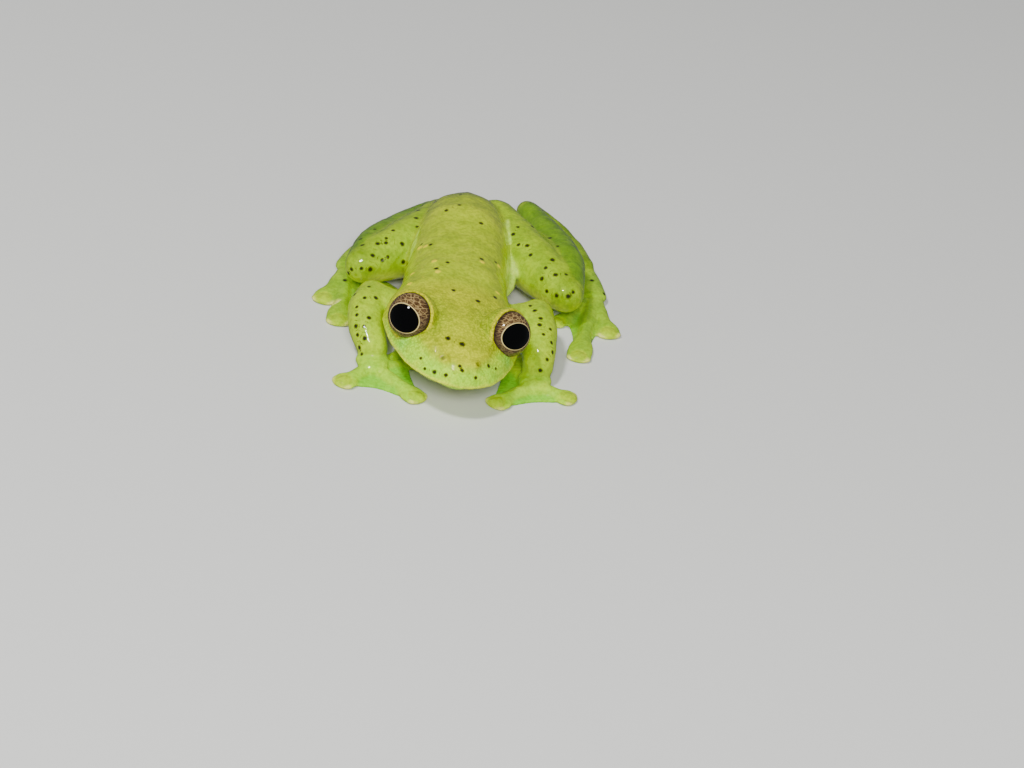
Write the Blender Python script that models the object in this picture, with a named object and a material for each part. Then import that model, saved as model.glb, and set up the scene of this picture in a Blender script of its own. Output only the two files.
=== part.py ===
"""A glass frog crouched on the floor with its legs folded, at life size.

The lengths below are in millimetres, in a frame where the frog faces -Y, its
own left side is +X and the floor is z = 0. Each finished node is moved so that
the middle of the whole frog stands on the origin, and is scaled to metres.
Every node is trimmed where it meets its neighbours, so that they lie face to
face with a thin gap.
"""

import math

import bmesh
import bpy
import numpy as np
from mathutils import Matrix, Vector

MM = 0.001
GAP = 0.3
CENTRE = Vector((-0.03, 10.66, 0.0))
FLAT_SINK = 0.06
ROUND_OFF = 1e-6

# Head and trunk: how far behind the tip of the snout, then half the width and
# the height above and the depth below the line of the lips
GIRTH = (
    (0.00, 0.22, 0.28, 0.12),
    (0.12, 0.82, 0.80, 0.28),
    (0.40, 1.45, 1.20, 0.40),
    (0.90, 2.12, 1.55, 0.58),
    (1.80, 2.92, 1.98, 0.88),
    (3.00, 3.60, 2.42, 1.12),
    (4.70, 4.18, 2.82, 1.32),
    (6.50, 4.52, 2.98, 1.42),
    (8.20, 4.60, 3.02, 1.60),
    (10.0, 4.05, 3.10, 2.15),
    (12.2, 3.62, 3.16, 2.62),
    (16.0, 3.58, 3.22, 2.72),
    (20.0, 3.30, 3.36, 2.68),
    (23.0, 2.75, 2.80, 2.55),
    (25.0, 1.80, 1.74, 1.92),
    (25.8, 0.90, 0.90, 1.12),
    (26.0, 0.30, 0.32, 0.46),
)
# Where the line of the lips and its extension through the trunk run
AXIS = (
    (0.0, 0.15, -3.75, 2.70),
    (8.2, -0.85, 4.40, 2.70),
    (20.5, -1.15, 16.70, 2.56),
    (26.0, -1.25, 22.20, 2.30),
)
ROLL = ((0.0, 7.0), (8.2, 6.0), (13.0, 0.0), (26.0, 0.0))
SQUARENESS = ((0.0, 2.0), (4.7, 2.05), (12.0, 2.3), (26.0, 2.2))
BODY_SIDES = 28
BODY_RINGS = 30
END_CROWDING = 0.92
BODY_REACH = 20.0

# Head details, as side, distance behind the snout and height above the lips
JAW_INSET = 0.18
JAW_INSET_SHARE = 0.3
LIP_FLARE = 0.14
LIP_HEIGHT = 0.30
NECK_AT = 8.7
NECK_BLEND = 1.5
EYE_PLACE = (3.24, 4.67, 2.16)
EYE_RADIUS = 1.59
EYE_OUT_DEG = 40.0
EYE_UP_DEG = 22.0
LID_PLANE = 0.28
ORBIT_RADIUS = 1.70
ORBIT_SET_BACK = 0.12
LID_RADIUS = 1.53
LID_THICKNESS = 0.25
NOSTRIL_PLACE = (1.06, 0.95, 1.50)
NOSTRIL_BUMP = (0.36, 0.34, 0.24)
NOSTRIL_AIM = (0.8, -0.6, 0.75)
NOSTRIL_HOLE = 0.13
NOSTRIL_DEPTH = 0.6

# The loose fold of skin on the left flank, and its half widths
FLANK_FOLD = (
    (1.75, 17.20, 4.10),
    (2.30, 15.20, 3.20),
    (2.60, 13.60, 2.55),
    (2.58, 12.30, 2.15),
    (2.30, 10.90, 1.85),
)
FLANK_WIDTH = ((0.0, 0.18), (0.35, 0.30), (0.65, 0.45), (0.82, 0.42), (1.0, 0.15))

# The pose: where the joints and the pads of the digits are, digits from the
# innermost to the outermost
ARMS = {
    "l": {
        "shoulder": (1.6, 5.2, 2.8),
        "elbow": (4.75, 8.05, 2.40),
        "forearm": (5.15, 4.90, 2.00),
        "wrist": (5.28, 3.40, 1.15),
        "palm": (5.20, 2.10, 0.50),
        "digits": ((3.50, 6.10), (3.20, 4.70), (2.88, -0.66), (7.66, 1.30)),
    },
    "r": {
        "shoulder": (-3.3, 5.2, 2.8),
        "elbow": (-6.45, 7.50, 2.35),
        "forearm": (-6.60, 4.70, 2.05),
        "wrist": (-5.85, 3.00, 1.15),
        "palm": (-5.65, 1.70, 0.50),
        "digits": ((-3.60, 4.70), (-3.30, 3.00), (-2.36, -1.39), (-7.38, -0.70)),
    },
}
LEGS = {
    "l": {
        "hip": (1.00, 20.60, 2.50),
        "thigh": (3.70, 15.75, 2.45),
        "knee": (6.60, 11.50, 2.42),
        "fold": ((2.20, 20.90, 2.10), (4.85, 16.30, 2.30), (6.50, 12.80, 2.30)),
        "calf": (6.05, 16.60, 2.45),
        "heel": (3.10, 24.25, 1.90),
        "instep": (5.85, 22.30, 1.25),
        "ankle": (7.65, 19.00, 0.90),
        "sole": (8.65, 15.60, 0.48),
        "digits": (
            (5.50, 15.40),
            (4.95, 13.40),
            (6.20, 11.50),
            (8.00, 7.05),
            (9.90, 10.90),
        ),
    },
    "r": {
        "hip": (-2.85, 19.60, 2.50),
        "thigh": (-5.00, 15.10, 2.45),
        "knee": (-7.65, 11.70, 2.42),
        "fold": ((-3.90, 20.60, 1.95), (-6.00, 15.80, 2.20), (-7.40, 12.60, 2.25)),
        "calf": (-6.75, 16.00, 2.15),
        "heel": (-3.75, 22.90, 1.50),
        "instep": (-6.20, 20.90, 1.10),
        "ankle": (-7.95, 18.00, 0.85),
        "sole": (-8.85, 15.00, 0.48),
        "digits": (
            (-6.00, 15.00),
            (-5.60, 12.80),
            (-6.90, 10.40),
            (-8.62, 7.40),
            (-9.95, 10.15),
        ),
    },
}

# Half widths along each limb, as shares of its length
UPPER_ARM = ((0.0, 1.10), (0.5, 1.05), (1.0, 1.12))
FOREARM = ((0.0, 1.20), (0.35, 1.32), (0.7, 1.22), (1.0, 1.08))
THIGH = ((0.0, 1.75), (0.35, 1.95), (0.7, 1.80), (1.0, 1.25))
SHANK = ((0.0, 1.22), (0.3, 1.42), (0.65, 1.15), (1.0, 0.85))
FOLD = ((0.0, 0.70), (0.5, 0.95), (1.0, 0.80))
FOLD_HEIGHT = ((0.0, 1.00), (0.5, 1.50), (1.0, 1.30))
TARSUS = ((0.0, 0.85), (0.5, 0.72), (1.0, 0.72))
PALM = ((0.0, 0.85), (0.5, 1.15), (1.0, 1.05))
SOLE = ((0.0, 0.80), (0.5, 0.90), (1.0, 0.85))
LIMB_SIDES = 14
LIMB_RINGS = 5
LEG_SIDES = 20
LEG_RINGS = 9

# A digit: a slim shank that ends in a wide, flat, square-tipped pad
DIGIT_WIDTH = ((0.0, 0.56), (0.55, 0.52), (0.70, 0.56), (0.84, 0.84), (1.0, 0.88))
DIGIT_HEIGHT = ((0.0, 0.42), (0.6, 0.38), (0.78, 0.34), (1.0, 0.26))
PAD_ROUNDING = 0.55
INNER_DIGIT_SCALE = 0.82
KNUCKLE_AT = 0.55
PAW_HEIGHT = 0.50
DIGIT_SIDES = 10
DIGIT_RINGS = 6
WEB_THICKNESS = 0.5
WEB_STAGGER = 0.03
# How far along its two digits each web reaches, and how deeply its edge sags
WEB_ASIDE = 0.55
HAND_WEBS = ((0.30, 0.30, 0.05), (0.90, 0.92, 0.02), (0.90, 0.90, 0.17))
FOOT_WEBS = (
    (0.70, 0.66, 0.12),
    (0.80, 0.76, 0.10),
    (0.86, 0.86, 0.06),
    (0.86, 0.88, 0.06),
)

COLOURS = {
    "head": (0.42, 0.56, 0.09),
    "lower_jaw": (0.46, 0.66, 0.20),
    "torso": (0.40, 0.52, 0.10),
    "eye": (0.10, 0.06, 0.03),
    "arm": (0.40, 0.55, 0.18),
    "leg": (0.38, 0.50, 0.14),
    "hand": (0.48, 0.66, 0.30),
    "foot": (0.42, 0.60, 0.24),
}


def smooth(table, at):
    """A smooth curve through a table's rows of (place, values...), read at at."""
    rows = np.array(table, dtype=float)
    places, values = rows[:, 0], rows[:, 1:]
    slopes = np.empty_like(values)
    slopes[1:-1] = (values[2:] - values[:-2]) / (places[2:] - places[:-2])[:, None]
    slopes[0] = (values[1] - values[0]) / (places[1] - places[0])
    slopes[-1] = (values[-1] - values[-2]) / (places[-1] - places[-2])
    at = np.clip(at, places[0], places[-1])
    i = int(np.clip(np.searchsorted(places, at) - 1, 0, len(places) - 2))
    span = places[i + 1] - places[i]
    t = (at - places[i]) / span
    value = (
        (1 + 2 * t) * (1 - t) ** 2 * values[i]
        + t * t * (3 - 2 * t) * values[i + 1]
        + t * (1 - t) ** 2 * span * slopes[i]
        + t * t * (t - 1) * span * slopes[i + 1]
    )
    return value if len(value) > 1 else float(value[0])


def clear_scene():
    for obj in list(bpy.data.objects):
        bpy.data.objects.remove(obj, do_unlink=True)


def new_collection(name):
    collection = bpy.data.collections.new(name)
    bpy.context.scene.collection.children.link(collection)
    return collection


def workpiece(name, mesh):
    """A form still in work, in the collection of cutters and pieces."""
    obj = bpy.data.objects.new(name, mesh)
    WORK.objects.link(obj)
    obj.display_type = "WIRE"
    obj.hide_render = True
    return obj


def from_bmesh(name, bm):
    mesh = bpy.data.meshes.new(name)
    bmesh.ops.recalc_face_normals(bm, faces=bm.faces)
    bm.to_mesh(mesh)
    bm.free()
    return workpiece(name, mesh)


def loft(name, rings):
    """A closed skin through rings of equally many points, capped at both ends."""
    bm = bmesh.new()
    loops = [[bm.verts.new(point) for point in ring] for ring in rings]
    sides = len(rings[0])
    for near, far in zip(loops, loops[1:]):
        for i in range(sides):
            j = (i + 1) % sides
            bm.faces.new((near[i], near[j], far[j], far[i]))
    bm.faces.new(loops[0])
    bm.faces.new(loops[-1])
    return from_bmesh(name, bm)


def ball(name, radius, centre, stretch=(1, 1, 1), detail=12):
    """A sphere, stretched along the axes and set at centre."""
    bm = bmesh.new()
    place = Matrix.Translation(centre) @ Matrix.Diagonal((*stretch, 1))
    bmesh.ops.create_uvsphere(
        bm, u_segments=2 * detail, v_segments=detail, radius=radius, matrix=place
    )
    return from_bmesh(name, bm)


def slab(name, centre, turn, size):
    """A box of the given size, turned by a rotation matrix, set at centre."""
    bm = bmesh.new()
    place = Matrix.Translation(centre) @ turn.to_4x4() @ Matrix.Diagonal((*size, 1))
    bmesh.ops.create_cube(bm, size=1, matrix=place)
    return from_bmesh(name, bm)


def grown(obj, by=GAP):
    """A copy whose surface stands outside the original by a fixed distance."""
    bm = bmesh.new()
    bm.from_mesh(obj.data)
    bm.normal_update()
    moved = [v.co + v.normal * by for v in bm.verts]
    for vertex, place in zip(bm.verts, moved):
        vertex.co = place
    return from_bmesh(obj.name + "_grown", bm)


def drop(obj):
    bpy.data.objects.remove(obj, do_unlink=True)


def shells(bm):
    """The separate closed surfaces of a mesh, as lists of vertices."""
    unseen = set(bm.verts)
    found = []
    while unseen:
        stack = [unseen.pop()]
        shell = []
        while stack:
            vertex = stack.pop()
            shell.append(vertex)
            for edge in vertex.link_edges:
                other = edge.other_vert(vertex)
                if other in unseen:
                    unseen.remove(other)
                    stack.append(other)
        found.append(shell)
    return found


def box_size(vertices):
    """The volume of the box round some vertices."""
    points = np.array([v.co for v in vertices])
    return float(np.prod(np.ptp(points, axis=0)))


def keep_largest(obj):
    """Drops loose scraps and sealed hollows: only the largest surface stays."""
    bm = bmesh.new()
    bm.from_mesh(obj.data)
    found = sorted(shells(bm), key=box_size)
    for shell in found[:-1]:
        bmesh.ops.delete(bm, geom=shell, context="VERTS")
    bm.to_mesh(obj.data)
    bm.free()


def combine(obj, others, operation, solver="EXACT"):
    """One Boolean of obj with a collection of other forms, applied at once."""
    group = bpy.data.collections.new("operands")
    for other in others:
        group.objects.link(other)
    modifier = obj.modifiers.new(operation.lower(), "BOOLEAN")
    modifier.operation = operation
    modifier.operand_type = "COLLECTION"
    modifier.collection = group
    modifier.solver = solver
    bpy.context.view_layer.update()
    solid = obj.evaluated_get(bpy.context.evaluated_depsgraph_get())
    mesh = bpy.data.meshes.new_from_object(solid)
    obj.modifiers.remove(modifier)
    obj.data = mesh
    bpy.data.collections.remove(group)
    for other in others:
        drop(other)
    return obj


def join(obj, others, solver="EXACT"):
    return combine(obj, others, "UNION", solver)


def trim(obj, *cutters, solver="EXACT"):
    return combine(obj, list(cutters), "DIFFERENCE", solver)


# The head and trunk share one line from the snout to the vent
def body_frame(s):
    """The place on the body's line s behind the snout, with side, back, up."""
    step = 0.05
    centre = Vector(smooth(AXIS, s))
    ahead = Vector(smooth(AXIS, max(s - step, 0)))
    behind = Vector(smooth(AXIS, min(s + step, AXIS[-1][0])))
    back = (behind - ahead).normalized()
    side = back.cross(Vector((0, 0, 1))).normalized()
    up = side.cross(back)
    turn = Matrix.Rotation(math.radians(smooth(ROLL, s)), 3, back)
    return centre, turn @ side, back, turn @ up


def body_point(side, s, height):
    """A point beside and above the body's line, s behind the snout."""
    centre, across, _, up = body_frame(s)
    return centre + across * side + up * height


def body_ring(s):
    half, top, bottom = smooth(GIRTH, s)
    power = 2 / smooth(SQUARENESS, s)
    on_head = float(np.clip((NECK_AT - s) / NECK_BLEND, 0, 1))
    inset = on_head * min(JAW_INSET, JAW_INSET_SHARE * half)
    ring = []
    for angle in np.linspace(0, 2 * np.pi, BODY_SIDES, endpoint=False):
        cosine, sine = math.cos(angle), math.sin(angle)
        height = math.copysign(abs(sine) ** power, sine) * (top if sine > 0 else bottom)
        side = math.copysign(abs(cosine) ** power, cosine)
        if sine >= -ROUND_OFF:
            flare = math.exp(-((height / LIP_HEIGHT) ** 2))
            width = half + on_head * LIP_FLARE * flare
        else:
            width = half - inset
        ring.append(body_point(side * width, s, height))
    return ring


def body_stations():
    """Where the rings go: closest together at the snout and the vent."""
    first, last = GIRTH[0][0], GIRTH[-1][0]
    share = (1 - np.cos(np.linspace(0, np.pi, BODY_RINGS))) / 2
    even = np.linspace(0, 1, BODY_RINGS)
    crowded = END_CROWDING * share + (1 - END_CROWDING) * even
    return first + (last - first) * crowded


def gaze(hand):
    """The way the opening of the lids faces; hand is +1 for the frog's left."""
    _, across, back, up = body_frame(EYE_PLACE[1])
    out, rise = math.radians(EYE_OUT_DEG), math.radians(EYE_UP_DEG)
    level = -back * math.cos(out) + across * hand * math.sin(out)
    return level * math.cos(rise) + up * math.sin(rise)


def eye_centre(hand):
    side, s, height = EYE_PLACE
    return body_point(hand * side, s, height)


def facing(direction):
    """A rotation that turns +Z to a direction."""
    return Vector(direction).to_track_quat("Z", "Y").to_matrix()


def orbit(hand):
    """The dome that carries an eye, with the thick rim of its lids."""
    look = gaze(hand)
    centre = eye_centre(hand)
    dome = ball("orbit", ORBIT_RADIUS, centre - look * ORBIT_SET_BACK)
    rim_centre = centre + look * (LID_PLANE - GAP - LID_THICKNESS)
    rim = ring_form("lids", rim_centre, look, LID_RADIUS, LID_THICKNESS)
    return [dome, rim]


def ring_form(name, centre, normal, radius, thickness, around=24, across=8):
    """A torus about a line through centre."""
    bpy.ops.mesh.primitive_torus_add(
        major_radius=radius,
        minor_radius=thickness,
        major_segments=around,
        minor_segments=across,
    )
    made = bpy.context.object
    mesh = made.data.copy()
    mesh.transform(Matrix.Translation(centre) @ facing(normal).to_4x4())
    drop(made)
    return workpiece(name, mesh)


def eyeball(hand):
    """The part of the eyeball that the lids leave bare, cut flat behind."""
    look = gaze(hand)
    centre = eye_centre(hand)
    eye = ball("eye", EYE_RADIUS, centre)
    size = 4 * EYE_RADIUS
    behind = centre + look * (LID_PLANE - size / 2)
    return trim(eye, slab("behind", behind, facing(look), (size, size, size)))


def nostril_bump(hand):
    side, s, height = NOSTRIL_PLACE
    return ball("nostril", 1, body_point(hand * side, s, height), NOSTRIL_BUMP, 6)


def nostril_hole(hand):
    side, s, height = NOSTRIL_PLACE
    _, across, back, up = body_frame(s)
    aside, behind, above = NOSTRIL_AIM
    out = (across * hand * aside + back * behind + up * above).normalized()
    bm = bmesh.new()
    place = body_point(hand * side, s, height) + out * NOSTRIL_BUMP[0]
    bmesh.ops.create_cone(
        bm,
        cap_ends=True,
        segments=8,
        radius1=0.5 * NOSTRIL_HOLE,
        radius2=1.2 * NOSTRIL_HOLE,
        depth=NOSTRIL_DEPTH,
        matrix=Matrix.Translation(place) @ facing(out).to_4x4(),
    )
    return from_bmesh("nostril_hole", bm)


def neck_slab():
    centre, across, back, up = body_frame(NECK_AT)
    turn = Matrix((across, back, up)).transposed()
    return slab("neck_cut", centre, turn, (BODY_REACH, GAP, BODY_REACH))


def mouth_slab():
    """A thin slab along the line of the mouth, past the snout and the neck."""
    centre, across, back, up = body_frame(NECK_AT / 2)
    turn = Matrix((across, back, up)).transposed()
    return slab("mouth_cut", centre, turn, (BODY_REACH, BODY_REACH, GAP))


def split_shells(obj):
    """One form for each separate closed surface of obj."""
    bm = bmesh.new()
    bm.from_mesh(obj.data)
    sets = [frozenset(v.index for v in shell) for shell in shells(bm)]
    bm.free()
    parts = []
    for kept in sorted(sets, key=len):
        bm = bmesh.new()
        bm.from_mesh(obj.data)
        bm.verts.ensure_lookup_table()
        others = [v for v in bm.verts if v.index not in kept]
        bmesh.ops.delete(bm, geom=others, context="VERTS")
        parts.append(from_bmesh("piece", bm))
    drop(obj)
    return parts


def middle_of(obj):
    points = np.array([v.co for v in obj.data.vertices])
    return (points.min(0) + points.max(0)) / 2


def part_with(obj, cut):
    """The two largest pieces that a thin slab leaves of obj."""
    trim(obj, cut)
    return sorted(split_shells(obj), key=lambda p: box_size(p.data.vertices))[-2:]


def head_jaw_torso():
    """The body modelled whole, then parted at the neck and along the mouth."""
    whole = loft("body", [body_ring(s) for s in body_stations()])
    additions = []
    for hand in (1, -1):
        additions += orbit(hand)
        additions.append(nostril_bump(hand))
    additions.append(tube("flank_fold", FLANK_FOLD, FLANK_WIDTH))
    join(whole, additions)
    front, torso = sorted(part_with(whole, neck_slab()), key=lambda f: middle_of(f)[1])
    jaw, head = sorted(part_with(front, mouth_slab()), key=lambda f: middle_of(f)[2])
    trim(head, nostril_hole(1), nostril_hole(-1))
    return head, jaw, torso


# Limbs are tubes with an oval section along a smooth path
def path_point(points, share):
    """A point on the smooth path through points, by share of its length."""
    points = np.array(points, dtype=float)
    steps = np.linalg.norm(np.diff(points, axis=0), axis=1)
    places = np.concatenate(([0], np.cumsum(steps)))
    table = np.column_stack((places / places[-1], points))
    return np.array(smooth(table, share))


def tube_ring(points, share, half, tall, sides):
    step = 0.02
    here = Vector(path_point(points, share))
    ahead = Vector(path_point(points, min(share + step, 1)))
    behind = Vector(path_point(points, max(share - step, 0)))
    along = (ahead - behind).normalized()
    across = along.cross(Vector((0, 0, 1))).normalized()
    up = across.cross(along)
    turns = np.linspace(0, 2 * np.pi, sides, endpoint=False)
    return [
        here + across * half * math.cos(a) + up * tall * math.sin(a) for a in turns
    ]


def closing(distance, rounding):
    """How far a round end has opened at a distance from its tip, 0 to 1."""
    left = max(0.0, 1 - distance / rounding)
    return math.sqrt(max(0.0, 1 - left * left))


def tube(
    name,
    points,
    widths,
    heights=None,
    rounding=None,
    sides=LIMB_SIDES,
    middle=LIMB_RINGS,
):
    """A limb from tip to tip: rings along a path, rounded off at both ends."""
    heights = heights or widths
    points = [np.array(point, dtype=float) for point in points]
    first, last = widths[0][1], (rounding or widths[-1][1])
    start = points[0] - points[1]
    finish = points[-1] - points[-2]
    points[0] = points[0] + start / np.linalg.norm(start) * first
    points[-1] = points[-1] + finish / np.linalg.norm(finish) * last
    length = sum(np.linalg.norm(b - a) for a, b in zip(points, points[1:]))
    turn = np.radians((25, 55, 90))
    near = first * (1 - np.cos(turn))
    far = length - last * (1 - np.cos(turn[::-1]))
    between = np.linspace(near[-1], far[0], middle + 2)[1:-1]
    rings = []
    for place in np.concatenate((near, between, far)):
        share = place / length
        inner = np.clip((place - first) / (length - first - last), 0, 1)
        end = min(closing(place, first), closing(length - place, last))
        half = smooth(widths, inner) * end
        tall = smooth(heights, inner) * end
        rings.append(tube_ring(points, share, half, tall, sides))
    return loft(name, rings)


def digit_path(root, pad, height):
    """From the palm or sole out over a low knuckle to the pad."""
    root = np.array((root[0], root[1], DIGIT_HEIGHT[0][1] - FLAT_SINK))
    tip = np.array((pad[0], pad[1], height - FLAT_SINK))
    knuckle = root + (tip - root) * KNUCKLE_AT
    return [root, knuckle, tip]


def scaled(table, scale):
    return tuple((place, value * scale) for place, value in table)


def digit(root, pad, scale):
    """A finger or toe with its pad flat on the floor."""
    heights = scaled(DIGIT_HEIGHT, scale)
    path = digit_path(root, pad, heights[-1][1])
    widths = scaled(DIGIT_WIDTH, scale)
    return tube("digit", path, widths, heights, PAD_ROUNDING, DIGIT_SIDES, DIGIT_RINGS)


def beside(root, pad, other):
    """A point on the edge of a pad, on the side of another pad."""
    along = (pad - root) / np.linalg.norm(pad - root)
    aside = np.array((-along[1], along[0]))
    return pad + aside * math.copysign(WEB_ASIDE, aside @ (other - pad))


def web(root, pad_a, pad_b, reach, level):
    """A flat sheet of skin between two digits, with a hollow front edge."""
    reach_a, reach_b, sag = reach
    root, pad_a, pad_b = (np.array(point[:2]) for point in (root, pad_a, pad_b))
    end_a, end_b = beside(root, pad_a, pad_b), beside(root, pad_b, pad_a)
    columns, rows = 6, 3
    bm = bmesh.new()
    grid = []
    for column in range(columns + 1):
        c = column / columns
        edge = (reach_a * (1 - c) + reach_b * c) * (1 - sag * math.sin(math.pi * c))
        line = []
        for row in range(1, rows + 1):
            k = edge * row / rows
            spot = (root + (end_a - root) * k) * (1 - c)
            spot = spot + (root + (end_b - root) * k) * c
            line.append(bm.verts.new((*spot, level)))
        grid.append(line)
    for near, far in zip(grid, grid[1:]):
        for row in range(rows - 1):
            bm.faces.new((near[row], near[row + 1], far[row + 1], far[row]))
    sheet = list(bm.faces)
    made = bmesh.ops.extrude_face_region(bm, geom=sheet)
    raised = [item for item in made["geom"] if isinstance(item, bmesh.types.BMVert)]
    bmesh.ops.translate(bm, vec=(0, 0, WEB_THICKNESS), verts=raised)
    return from_bmesh("web", bm)


def paw(root, core, core_widths, pads, webs):
    """A hand or a foot: its core, its digits and the webs between them."""
    pieces = []
    for number, pad in enumerate(pads):
        scale = INNER_DIGIT_SCALE if number < len(pads) - 2 else 1.0
        pieces.append(digit(root, pad, scale))
    for number, reach in enumerate(webs):
        level = -FLAT_SINK - WEB_STAGGER * (number % 2)
        pieces.append(web(root, pads[number], pads[number + 1], reach, level))
    heights = tuple((place, PAW_HEIGHT) for place, _ in core_widths)
    middle = tube("core", core, core_widths, heights, sides=12, middle=3)
    return join(middle, pieces, solver="MANIFOLD")


def floor_box():
    return slab("floor", Vector((0, 10, -5)), Matrix.Identity(3), (60, 60, 10))


def arm(side):
    pose = ARMS[side]
    upper = tube("upper_arm", (pose["shoulder"], pose["elbow"]), UPPER_ARM)
    path = (pose["elbow"], pose["forearm"], pose["wrist"])
    fore = tube("forearm", path, FOREARM)
    palm = pose["palm"]
    core = (pose["wrist"][:2] + (PAW_HEIGHT,), palm)
    hand = paw(palm, core, PALM, pose["digits"], HAND_WEBS)
    return upper, fore, hand


def leg(side):
    pose = LEGS[side]
    fine = {"sides": LEG_SIDES, "middle": LEG_RINGS}
    thigh = tube("thigh", (pose["hip"], pose["thigh"], pose["knee"]), THIGH, **fine)
    fold = tube("fold", pose["fold"], FOLD, FOLD_HEIGHT, **fine)
    join(thigh, [fold])
    shank = tube("shank", (pose["knee"], pose["calf"], pose["heel"]), SHANK, **fine)
    path = (pose["heel"], pose["instep"], pose["ankle"])
    tarsus = tube("tarsus", path, TARSUS)
    sole = pose["sole"]
    core = (pose["ankle"][:2] + (PAW_HEIGHT,), sole)
    foot = paw(sole, core, SOLE, pose["digits"], FOOT_WEBS)
    return thigh, shank, tarsus, foot


def material(name, colour, roughness):
    made = bpy.data.materials.new(name)
    made.use_nodes = True
    shader = made.node_tree.nodes["Principled BSDF"]
    shader.inputs["Base Color"].default_value = (*colour, 1)
    shader.inputs["Roughness"].default_value = roughness
    shader.inputs["Metallic"].default_value = 0.0
    return made


def finish(obj, name, colour):
    """Makes a form a node: floor flats, one surface, place, scale, colour."""
    lowest = min(v.co.z for v in obj.data.vertices)
    if lowest < 0:
        trim(obj, floor_box(), solver="MANIFOLD")
    keep_largest(obj)
    obj.data.transform(Matrix.Scale(MM, 4) @ Matrix.Translation(-CENTRE))
    obj.data.materials.clear()
    obj.data.materials.append(material(name, COLOURS[colour], 0.3))
    obj.data.shade_smooth()
    obj.data.set_sharp_from_angle(angle=math.radians(50))
    obj.name = name
    obj.data.name = name
    obj.display_type = "TEXTURED"
    obj.hide_render = False
    WORK.objects.unlink(obj)
    FROG.objects.link(obj)


def build():
    head, jaw, torso = head_jaw_torso()
    eyes = {side: eyeball(1 if side == "l" else -1) for side in "lr"}
    trim(head, *(grown(eye) for eye in eyes.values()))
    for side in "lr":
        upper, fore, hand = arm(side)
        thigh, shank, tarsus, foot = leg(side)
        trim(upper, grown(torso), grown(head), grown(jaw))
        trim(thigh, grown(torso), grown(shank))
        trim(fore, grown(upper), grown(head), grown(jaw), grown(thigh), grown(shank))
        trim(upper, grown(thigh), grown(shank))
        trim(hand, grown(fore), grown(jaw), solver="MANIFOLD")
        trim(tarsus, grown(shank))
        trim(foot, grown(tarsus), grown(shank), grown(thigh), solver="MANIFOLD")
        finish(upper, "upper_arm_" + side, "arm")
        finish(fore, "forearm_" + side, "arm")
        finish(hand, "hand_" + side, "hand")
        finish(thigh, "thigh_" + side, "leg")
        finish(shank, "shank_" + side, "leg")
        finish(tarsus, "tarsus_" + side, "leg")
        finish(foot, "foot_" + side, "foot")
        finish(eyes[side], "eye_" + side, "eye")
    finish(head, "head", "head")
    finish(jaw, "lower_jaw", "lower_jaw")
    finish(torso, "torso", "torso")


clear_scene()
FROG = new_collection("glass_frog")
WORK = new_collection("cutters_and_pieces")
build()
for leftover in list(WORK.objects):
    drop(leftover)
bpy.data.collections.remove(WORK)
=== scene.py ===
import math

import bpy
import numpy as np
from mathutils import Matrix, Vector, noise
from mathutils.bvhtree import BVHTree
from mathutils.kdtree import KDTree


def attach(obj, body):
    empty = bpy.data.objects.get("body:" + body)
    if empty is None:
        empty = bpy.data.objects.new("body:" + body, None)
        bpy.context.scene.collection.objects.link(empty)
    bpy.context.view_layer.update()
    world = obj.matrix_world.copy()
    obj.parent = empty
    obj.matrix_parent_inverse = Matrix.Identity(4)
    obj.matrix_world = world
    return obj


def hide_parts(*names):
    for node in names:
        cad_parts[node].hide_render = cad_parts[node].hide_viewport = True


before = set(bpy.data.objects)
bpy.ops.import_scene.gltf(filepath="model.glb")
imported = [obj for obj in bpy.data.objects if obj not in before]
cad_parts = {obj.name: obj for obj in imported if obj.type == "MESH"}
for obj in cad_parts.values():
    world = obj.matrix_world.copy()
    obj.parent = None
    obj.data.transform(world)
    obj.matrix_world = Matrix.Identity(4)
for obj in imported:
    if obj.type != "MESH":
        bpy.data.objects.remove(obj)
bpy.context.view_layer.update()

# Lengths are in millimetres, in the frame of the part's source: the frog faces
# -Y, its own left is +X and the floor is z = 0. Finished pieces are shifted by
# CENTRE and scaled to metres.
MM = 0.001
CENTRE = np.array((-0.03, 10.66, 0.0))
VOXEL = 0.09
SEED = 7

# Head and trunk: how far behind the tip of the snout, then half the width and
# the height above and the depth below the line of the lips
GIRTH = (
    (0.00, 0.22, 0.28, 0.12),
    (0.12, 0.82, 0.80, 0.28),
    (0.40, 1.45, 1.20, 0.40),
    (0.90, 2.12, 1.55, 0.58),
    (1.80, 2.92, 1.98, 0.88),
    (3.00, 3.60, 2.42, 1.12),
    (4.70, 4.18, 2.82, 1.32),
    (6.50, 4.52, 2.98, 1.42),
    (8.20, 4.60, 3.02, 1.60),
    (10.0, 4.05, 3.10, 2.15),
    (12.2, 3.62, 3.16, 2.62),
    (16.0, 3.58, 3.22, 2.72),
    (20.0, 3.30, 3.36, 2.68),
    (23.0, 2.75, 2.80, 2.55),
    (25.0, 1.80, 1.74, 1.92),
    (25.8, 0.90, 0.90, 1.12),
    (26.0, 0.30, 0.32, 0.46),
)
AXIS = (
    (0.0, 0.15, -3.75, 2.70),
    (8.2, -0.85, 4.40, 2.70),
    (20.5, -1.15, 16.70, 2.56),
    (26.0, -1.25, 22.20, 2.30),
)
ROLL = ((0.0, 7.0), (8.2, 6.0), (13.0, 0.0), (26.0, 0.0))
SQUARENESS = ((0.0, 2.0), (4.7, 2.05), (12.0, 2.3), (26.0, 2.2))
BODY_SIDES = 120
BODY_RINGS = 130
END_CROWDING = 0.92

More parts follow.
